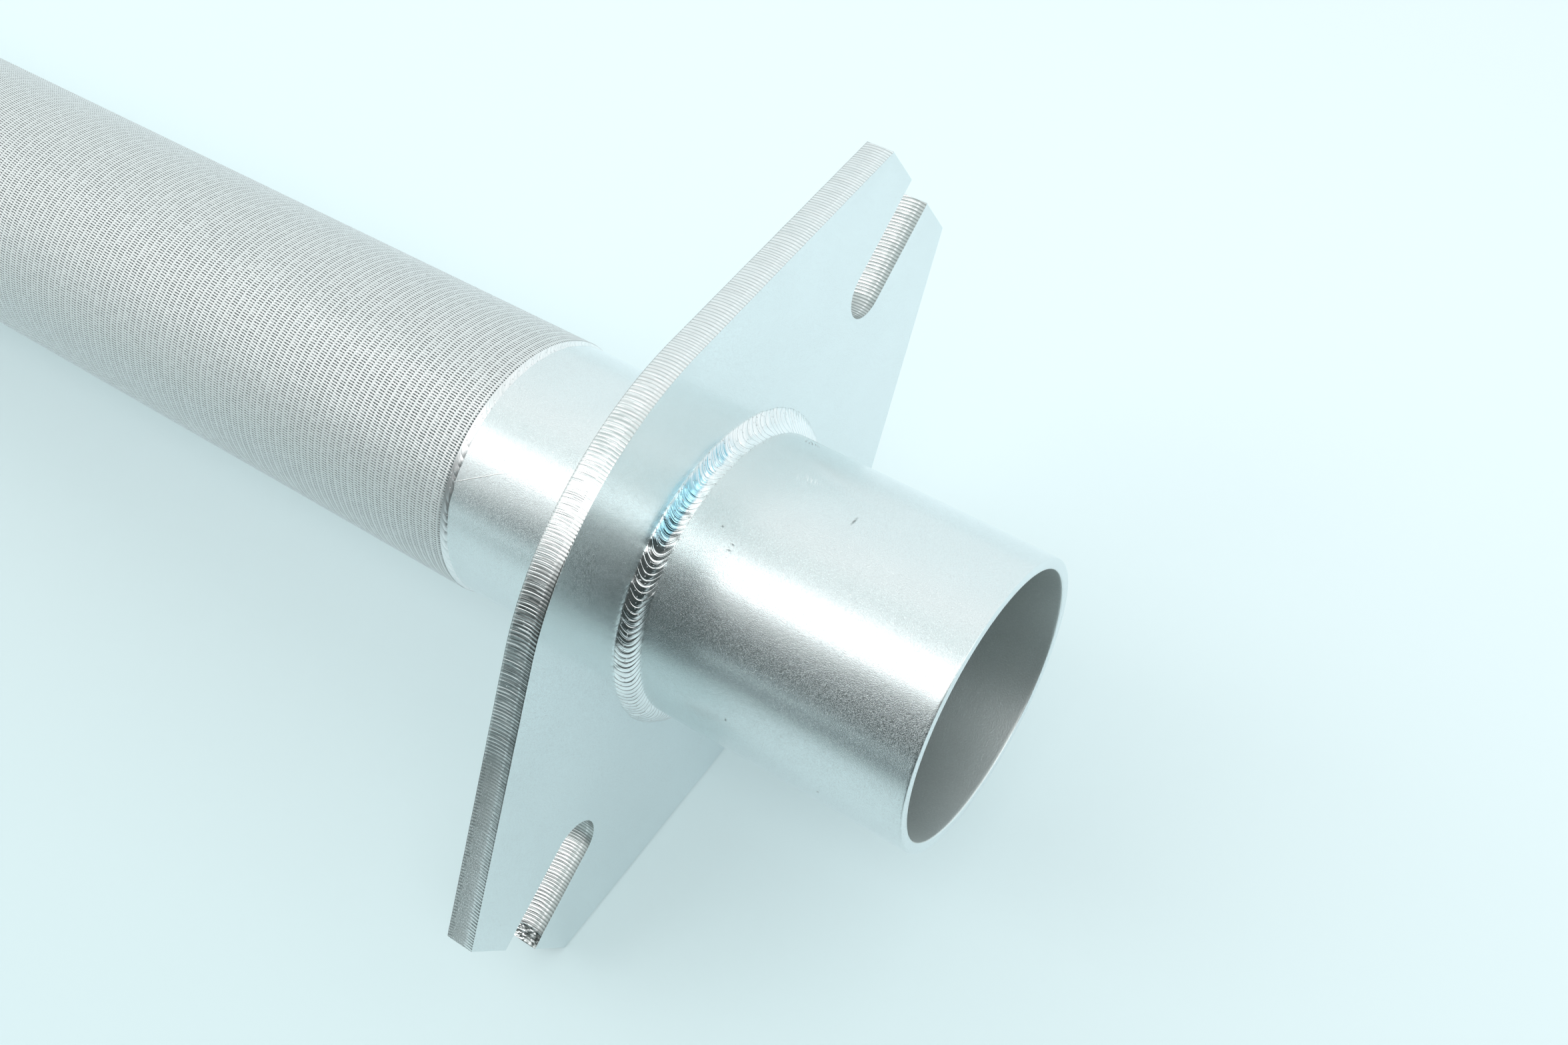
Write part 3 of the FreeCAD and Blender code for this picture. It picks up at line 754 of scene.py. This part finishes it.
# Flange
def outline_of_flange(spacing):
    """Points round the flange at even spacing, anticlockwise in its own plane, with the slots:
    straight long edges that touch a round middle, square ends, and open slots with a round inner
    end. Also gives each stretch's own end points exactly."""
    half_length, half_end, half_slot = PLATE_LENGTH / 2, PLATE_END_WIDTH / 2, SLOT_WIDTH / 2
    reach = math.hypot(half_length, half_end)
    touch = math.atan2(half_end, half_length) + math.acos(PLATE_ROUND / reach)

    def straight(start, end):
        count = max(2, round(math.dist(start, end) / spacing))
        share = np.arange(count)[:, None] / count
        return np.array(start) * (1 - share) + np.array(end) * share

    def arc(centre, radius, first, last):
        count = round(abs(last - first) * radius / spacing)
        angles = first + (last - first) * np.arange(count) / count
        return np.stack([centre + radius * np.cos(angles), radius * np.sin(angles)], -1)

    touch_point = (PLATE_ROUND * math.cos(touch), PLATE_ROUND * math.sin(touch))
    half = [
        straight((SLOT_CENTRE, half_slot), (half_length, half_slot)),
        straight((half_length, half_slot), (half_length, half_end)),
        straight((half_length, half_end), touch_point),
        arc(0.0, PLATE_ROUND, touch, math.pi - touch),
        straight((-touch_point[0], touch_point[1]), (-half_length, half_end)),
        straight((-half_length, half_end), (-half_length, half_slot)),
        straight((-half_length, half_slot), (-SLOT_CENTRE, half_slot)),
        arc(-SLOT_CENTRE, half_slot, math.pi / 2, -math.pi / 2),
    ]
    upper = np.concatenate(half)
    return np.concatenate([upper, -upper])


outline = outline_of_flange(0.13 * MM)
steps_along = np.linalg.norm(np.roll(outline, -1, 0) - outline, axis=1)
OUTLINE = steps_along.sum()
cut_finish = cut_steel()


def fluted_edge(run, in_slot, depths):
    """How far the cut edge is pulled in, and the number of stripes, on a grid of depths by places
    along the outline. Stripes: (run + bend x (depth - middle)^2) / stripe + a smooth unevenness.
    Flutes: depth of cut x ((1 + cos(turn x stripes)) / 2) ** 1.5, deep at the front of the long
    edges and at the back of the slots."""
    angles = run / OUTLINE * FULL_TURN
    fade = closing_fade(angles, 0.05)
    stripe = OUTLINE / round(OUTLINE / (STRIPE * MM))
    bend = STRIPE_BEND * MM * (depths / MM - STRIPE_BEND_MIDDLE) ** 2
    uneven = 0.45 * smooth_noise(run, 5 * MM, 11) * fade
    stripes = (run[None] + bend[:, None]) / stripe + uneven[None]
    outside = np.interp(depths / MM, (0, 0.3, 1.2, 1.9, 6), (0.4, 0.8, 0.8, 0.45, 0.6))
    slot = np.interp(depths / MM, (0, 0.4, 1.6, 3.0, 6), (0.5, 0.8, 0.35, 1.0, 1.0))
    strength = np.where(in_slot[None], slot[:, None], outside[:, None])
    varied = 0.75 + 0.25 * smooth_noise(run, 1.1 * MM, 12) * fade
    broad = 0.5 + 0.5 * smooth_noise(run, 3.1 * MM, 13) * fade
    melted = np.clip(1 - np.abs(run / MM - MELTED_MIDDLE) / MELTED_HALF, 0, 1)
    lumps = melted * (0.5 + 0.5 * smooth_noise(run, 0.9 * MM, 14))
    cut = 0.060 * MM * strength * varied * (0.5 + 0.5 * np.cos(FULL_TURN * stripes)) ** 1.5
    cut = cut + 0.045 * MM * broad + 0.22 * MM * lumps
    return cut, stripes


def flange():
    """Flange plate. Its outline is carried through the thickness, pulled in by a small rounding
    at both faces and by the laser's flutes between them."""
    count = len(outline)
    tangent = np.roll(outline, -1, 0) - np.roll(outline, 1, 0)
    tangent /= np.linalg.norm(tangent, axis=1)[:, None]
    inward = np.stack([-tangent[:, 1], tangent[:, 0]], -1)
    run = np.concatenate([[0], np.cumsum(steps_along)])
    in_slot = np.abs(outline[:, 1]) < SLOT_WIDTH / 2 + 0.01 * MM
    depths = np.array([0, 0.08, 0.3, 0.75, 1.15, 1.5, 1.9, 2.5, 3.2, 3.9, 4.7, 5.4, 5.88, 6.0]) * MM
    pull = np.zeros(len(depths))
    pull[[0, 1, -2, -1]] = np.array([0.05, 0.01, 0.02, 0.12]) * MM
    cut, stripes = fluted_edge(run, np.append(in_slot, in_slot[0]), depths)
    flat = outline[None] + inward[None] * (pull[:, None] + cut[:, :-1])[..., None]
    turn = np.array([[math.cos(SLOT_LINE_TURN), math.sin(SLOT_LINE_TURN)],
                     [-math.sin(SLOT_LINE_TURN), math.cos(SLOT_LINE_TURN)]])
    turned_flat = flat @ turn
    x = np.broadcast_to((PLATE_FRONT + depths)[:, None], flat.shape[:2])
    grid = np.concatenate([x[..., None], turned_flat], -1)
    rows = len(depths)
    bore_angles = np.arange(BORE_STEPS) * FULL_TURN / BORE_STEPS
    bore = COLLAR_BORE * np.stack([np.cos(bore_angles), np.sin(bore_angles)], -1)
    points = grid.reshape(-1, 3)
    corner_rows, corner_columns = grid_faces(rows, count, False, True)
    side_faces = corner_rows * count + corner_columns % count
    side_layout = np.stack([stripes[corner_rows, corner_columns], depths[corner_rows] / MM], -1)
    first_bore = len(points)
    back_bore = first_bore + BORE_STEPS
    bore_front = np.column_stack([np.full(BORE_STEPS, PLATE_FRONT), bore])
    bore_back = np.column_stack([np.zeros(BORE_STEPS), bore])
    points = np.concatenate([points, bore_front, bore_back])
    faces = side_faces.tolist()
    layout = [side_layout.reshape(-1, 2)]
    materials = [1] * len(faces)
    for row, bore_start, facing in ((0, first_bore, -1.0), (rows - 1, back_bore, 1.0)):
        loop = [Vector((0.0, *point)) for point in turned_flat[row].tolist()]
        hole = [Vector((0.0, *point)) for point in bore.tolist()]
        numbers = np.concatenate([row * count + np.arange(count), bore_start + np.arange(BORE_STEPS)])
        triangles = numbers[np.array(tessellate_polygon([loop, hole]))]
        a, b, c = (points[triangles[:, corner]] for corner in range(3))
        normal_x = np.cross(b - a, c - a)[:, 0]
        triangles[normal_x * facing < 0] = triangles[normal_x * facing < 0][:, ::-1]
        faces += triangles.tolist()
        layout.append(np.zeros((triangles.size, 2)))
        materials += [0] * len(triangles)
    inner = np.arange(BORE_STEPS)
    after = (inner + 1) % BORE_STEPS
    bore_faces = np.stack([first_bore + inner, first_bore + after, back_bore + after,
                           back_bore + inner], -1)
    faces += bore_faces.tolist()
    layout.append(np.zeros((bore_faces.size, 2)))
    materials += [0] * len(bore_faces)
    piece = build("flange_plate_cut", points, faces, [plate_steel, cut_finish], materials,
                  np.concatenate(layout))
    piece.data.polygons.foreach_set("use_smooth", np.asarray(materials) == 1)
    place(piece, "laser_cut_plate", "flange_plate")


outlet_pipe()
collar()
end_cap()
flange()
mesh_tube()
long_seam()
fillet_bead("outlet_bead", PLATE_FRONT, front_bead_high.z, PIPE_RADIUS, front_bead_low.x + 0.7 * MM,
            bead_finish, "front_weld_bead", 21)
fillet_bead("collar_bead", 0.0, rear_bead_high.z, COLLAR_RADIUS, rear_bead_high.x, seam_finish,
            "rear_weld_bead", 31)
seam_bead("mesh_bead", MESH_START - 1.65 * MM, MESH_START, "collar_seam_bead", 51)
seam_bead("cap_bead", MESH_END + 1.65 * MM, MESH_END, "cap_seam_bead", 61)


# Table, light and camera
TABLE_SLOPE = (-COLLAR_RADIUS - TABLE_HEIGHT) / (CAP_END - CAP_CORNER)
TABLE_REACH = 6.0
TABLE_GLOW = 0.21
ROOM_LIGHT = 0.94
DARK = (0.06, 0.07, 0.07)
CAMERA_PLACE = (-0.1405, 0.1546, 0.26595)
CAMERA_FORWARD = (0.382, -0.4986, -0.7781)
CAMERA_UP = (0.4172, -0.6583, 0.6265)
CAMERA_LENS = 39.27


def table():
    """Table top that carries the flange's lower edge and the end cap, so it is a little aslant to
    the pipe axis. Its colour is painted darker towards +Y as a light falloff. What shines sees it
    darken more on the +Y side, where the studio is dark, and nearly black in two patches of painted
    shade beside the object."""
    corners = TABLE_REACH * np.array([(-1, -1, 0), (1, -1, 0), (1, 1, 0), (-1, 1, 0)], float)
    corners[:, 2] = TABLE_HEIGHT + corners[:, 0] * TABLE_SLOPE
    material, maker = new_material("table_top")
    x, y, z = maker.place().parts()
    shade_far = y.between(130.0, 330.0) * x.between(280.0, 110.0)
    shade_front = y.between(70.0, 120.0) * x.between(-75.0, -120.0)
    # Painted light falloff: the table is painted darker towards +Y.
    pale = maker.mix(y.between(-260.0, 190.0), (0.80, 0.91, 0.93), (0.645, 0.775, 0.79))
    mirrored = maker.mix(y.between(170.0, -120.0), (0.62, 0.73, 0.75), (0.80, 0.90, 0.93))
    # Painted shade in what shiny surfaces see: two nearly black patches beside the object.
    mirrored = maker.mix(shade_far.math("MAXIMUM", shade_front), mirrored, (0.03, 0.04, 0.04))
    rays = maker.add_node("ShaderNodeLightPath", {}, {})
    camera_ray = Value(maker, rays.outputs["Is Camera Ray"])
    glossy_ray = Value(maker, rays.outputs["Is Glossy Ray"])
    transmission_ray = Value(maker, rays.outputs["Is Transmission Ray"])
    seen = (camera_ray + glossy_ray + transmission_ray).math("MINIMUM", 1.0)
    shown = maker.mix(glossy_ray, pale, mirrored)
    matt = maker.add("ShaderNodeBsdfDiffuse", {}, {"Color": shown})
    glow = maker.add("ShaderNodeEmission", {}, {"Color": shown, "Strength": seen * TABLE_GLOW})
    both = maker.add("ShaderNodeAddShader", {}, {0: matt, 1: glow})
    maker.add_node("ShaderNodeOutputMaterial", {}, {"Surface": both})
    top = build("table_top", corners, np.array([[0, 1, 2, 3]]), [material])


def room():
    """Pale studio tent that is open, and so dark, on the +Y side near the table. Towards +X the
    tent is paler, and a bright patch hangs in front of the outlet. What isn't shiny sees all of it
    a little dimmer."""
    world = bpy.data.worlds.new("room")
    world.use_nodes = True
    bpy.context.scene.world = world
    maker = Maker(world.node_tree)
    x, y, z = maker.add("ShaderNodeTexCoord", output="Generated").parts()
    forward = x.math("MAXIMUM", 0.07) - 0.36
    turn = y.math("ARCTAN2", z) / FULL_TURN + 0.5
    tent = maker.add("ShaderNodeValToRGB", {"stops": (
        (0.00, (0.90, 0.98, 1.0)), (0.38, (0.90, 0.98, 1.0)), (0.465, (1.0, 1.0, 1.0)),
        (0.500, (0.82, 0.90, 0.90)), (0.518, (0.66, 0.75, 0.75)), (0.535, (0.82, 0.90, 0.90)),
        (0.552, (1.0, 1.0, 1.0)), (0.88, (1.0, 1.0, 1.0)))}, {"Fac": turn - forward * 0.08})
    dark = (turn - forward * 0.25).between(0.615, 0.675) * turn.between(0.86, 0.80)
    tent = maker.mix(dark, tent, DARK)
    tent = maker.mix(x.between(0.38, 0.80) * 0.40, tent, (0.92, 1.0, 1.0))
    front_lamp = x.between(-0.80, -0.90) * z.between(0.12, 0.22) * y.between(-0.32, -0.22)
    tent = maker.mix(front_lamp * y.between(0.14, 0.06), tent, (2.2, 2.3, 2.3))
    rays = maker.add_node("ShaderNodeLightPath", {}, {})
    glossy_ray = Value(maker, rays.outputs["Is Glossy Ray"])
    camera_ray = Value(maker, rays.outputs["Is Camera Ray"])
    colour = maker.mix(camera_ray, tent, (0.88, 0.96, 0.98))
    strength = (glossy_ray + camera_ray).math("MINIMUM", 1.0) * (1 - ROOM_LIGHT) + ROOM_LIGHT
    light = maker.add("ShaderNodeBackground", {}, {"Color": colour, "Strength": strength})
    maker.add_node("ShaderNodeOutputWorld", {}, {"Surface": light})


def soft_box(name, angle, distance, length, width, tilt, radiance):
    """Long lamp that faces the flange from that angle round the axis, with its length along the
    axis, tilted down at its mesh end. Its power is radiance x pi x area."""
    lamp = bpy.data.lights.new(name, "AREA")
    lamp.shape = "RECTANGLE"
    lamp.size = length
    lamp.size_y = width
    lamp.energy = radiance * math.pi * length * width
    holder = bpy.data.objects.new(name, lamp)
    outward_turn = Matrix.Rotation(-math.radians(angle), 4, "X")
    holder.matrix_world = (outward_turn @ Matrix.Translation((0, 0, distance))
                           @ Matrix.Rotation(math.radians(tilt), 4, "Z"))
    bpy.context.scene.collection.objects.link(holder)


def camera():
    """Camera at the photograph's viewing angle: it looks down on the outlet from the front."""
    forward = Vector(CAMERA_FORWARD).normalized()
    right = forward.cross(Vector(CAMERA_UP)).normalized()
    up = right.cross(forward)
    lens = bpy.data.cameras.new("camera")
    lens.lens = CAMERA_LENS
    lens.sensor_width = 36
    lens.clip_start = 0.01
    holder = bpy.data.objects.new("camera", lens)
    turn = Matrix((right, up, -forward)).transposed().to_4x4()
    holder.matrix_world = Matrix.Translation(CAMERA_PLACE) @ turn
    bpy.context.scene.collection.objects.link(holder)
    bpy.context.scene.camera = holder


table()
room()
soft_box("key_light", 29.0, 0.85, 1.6, 0.31, 6.0, 1.75)
camera()
bpy.context.scene.view_settings.view_transform = "Standard"
